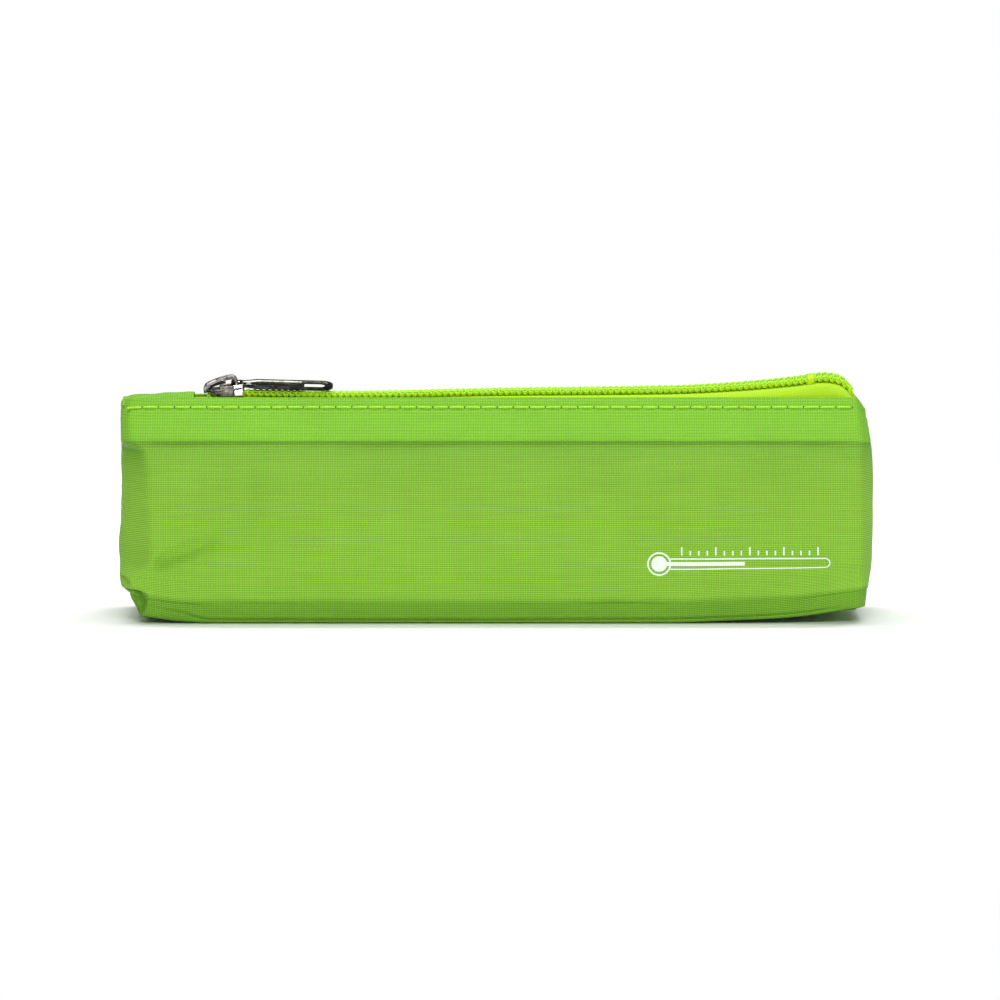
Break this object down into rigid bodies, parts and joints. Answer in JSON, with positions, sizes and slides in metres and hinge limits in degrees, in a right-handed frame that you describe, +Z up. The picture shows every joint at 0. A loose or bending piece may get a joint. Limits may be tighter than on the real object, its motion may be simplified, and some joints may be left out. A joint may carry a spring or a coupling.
{
  "type": "insulated zip pouch",
  "caption": "Soft insulated pouch for insulin pens: woven shell, foam, foil lining and gel ice pack, closed by a zip along the top.",
  "frame": {"origin": "middle of the case's box, on the face that rests on the table", "axes": "+X along the zip, from the closed slider to the other end; front faces -Y; +Z up"},
  "size_m": [0.2, 0.048, 0.0647],
  "materials": {
    "shell_fabric": "lime green plain weave with a slight coated sheen",
    "insulation": "closed cell foam, matt",
    "foil_lining": "crinkled satin foil",
    "zip_tape": "bright yellow green woven tape",
    "zip_coil": "yellow green nylon coil and moulded stops, satin",
    "thread": "yellow green sewing thread",
    "nickel": "dark nickel plate, bright with worn edges",
    "binding": "black woven binding tape",
    "pack_film": "clear soft film",
    "gel": "blue gel"
  },
  "bodies": {
    "pouch": {"base_panel": "shell_fabric", "left_end_panel": "shell_fabric", "right_end_panel": "shell_fabric", "left_zip_end_tab": "shell_fabric", "base_foam": "insulation", "left_end_foam": "insulation", "right_end_foam": "insulation", "base_lining": "foil_lining", "left_end_lining": "foil_lining", "right_end_lining": "foil_lining", "left_seam_binding": "binding", "right_seam_binding": "binding", "zip_bottom_stop": "zip_coil", "gel_pack_lower_film": "pack_film", "gel_pack_upper_film": "pack_film", "gel_fill": "gel"},
    "front_wall": {"front_panel": "shell_fabric", "front_foam": "insulation", "front_lining": "foil_lining", "front_zip_tape": "zip_tape", "front_zip_coil": "zip_coil", "front_topstitch": "thread", "front_top_stop": "zip_coil"},
    "back_wall": {"back_panel": "shell_fabric", "back_foam": "insulation", "back_lining": "foil_lining", "back_zip_tape": "zip_tape", "back_zip_coil": "zip_coil", "back_topstitch": "thread", "back_top_stop": "zip_coil"},
    "slider": {"slider_body": "nickel", "slider_crown": "nickel"},
    "puller": {"puller": "nickel"}
  },
  "joints": [
    {"name": "slider_travel", "type": "slide", "parent": "pouch", "child": "slider", "axis": [0.9997, 0, 0.0255], "range_m": [0, 0.149], "deforming": ["front_zip_tape", "front_zip_coil", "back_zip_tape", "back_zip_coil"]},
    {"name": "puller_swing", "type": "hinge", "parent": "slider", "child": "puller", "pos_m": [-0.07106, 0, 0.06255], "axis": [0, -1, 0], "range_deg": [0, 165]},
    {"name": "front_mouth", "type": "hinge", "parent": "pouch", "child": "front_wall", "pos_m": [0, -0.02292, 0.00545], "axis": [1, 0, 0], "range_deg": [0, 15]},
    {"name": "back_mouth", "type": "hinge", "parent": "pouch", "child": "back_wall", "pos_m": [0, 0.02292, 0.00545], "axis": [-1, 0, 0], "range_deg": [0, 15]}
  ],
  "couplings": [
    {"joint": "front_mouth", "follows": "slider_travel", "rad_per_m": 1.755},
    {"joint": "back_mouth", "follows": "slider_travel", "rad_per_m": 1.755}
  ]
}
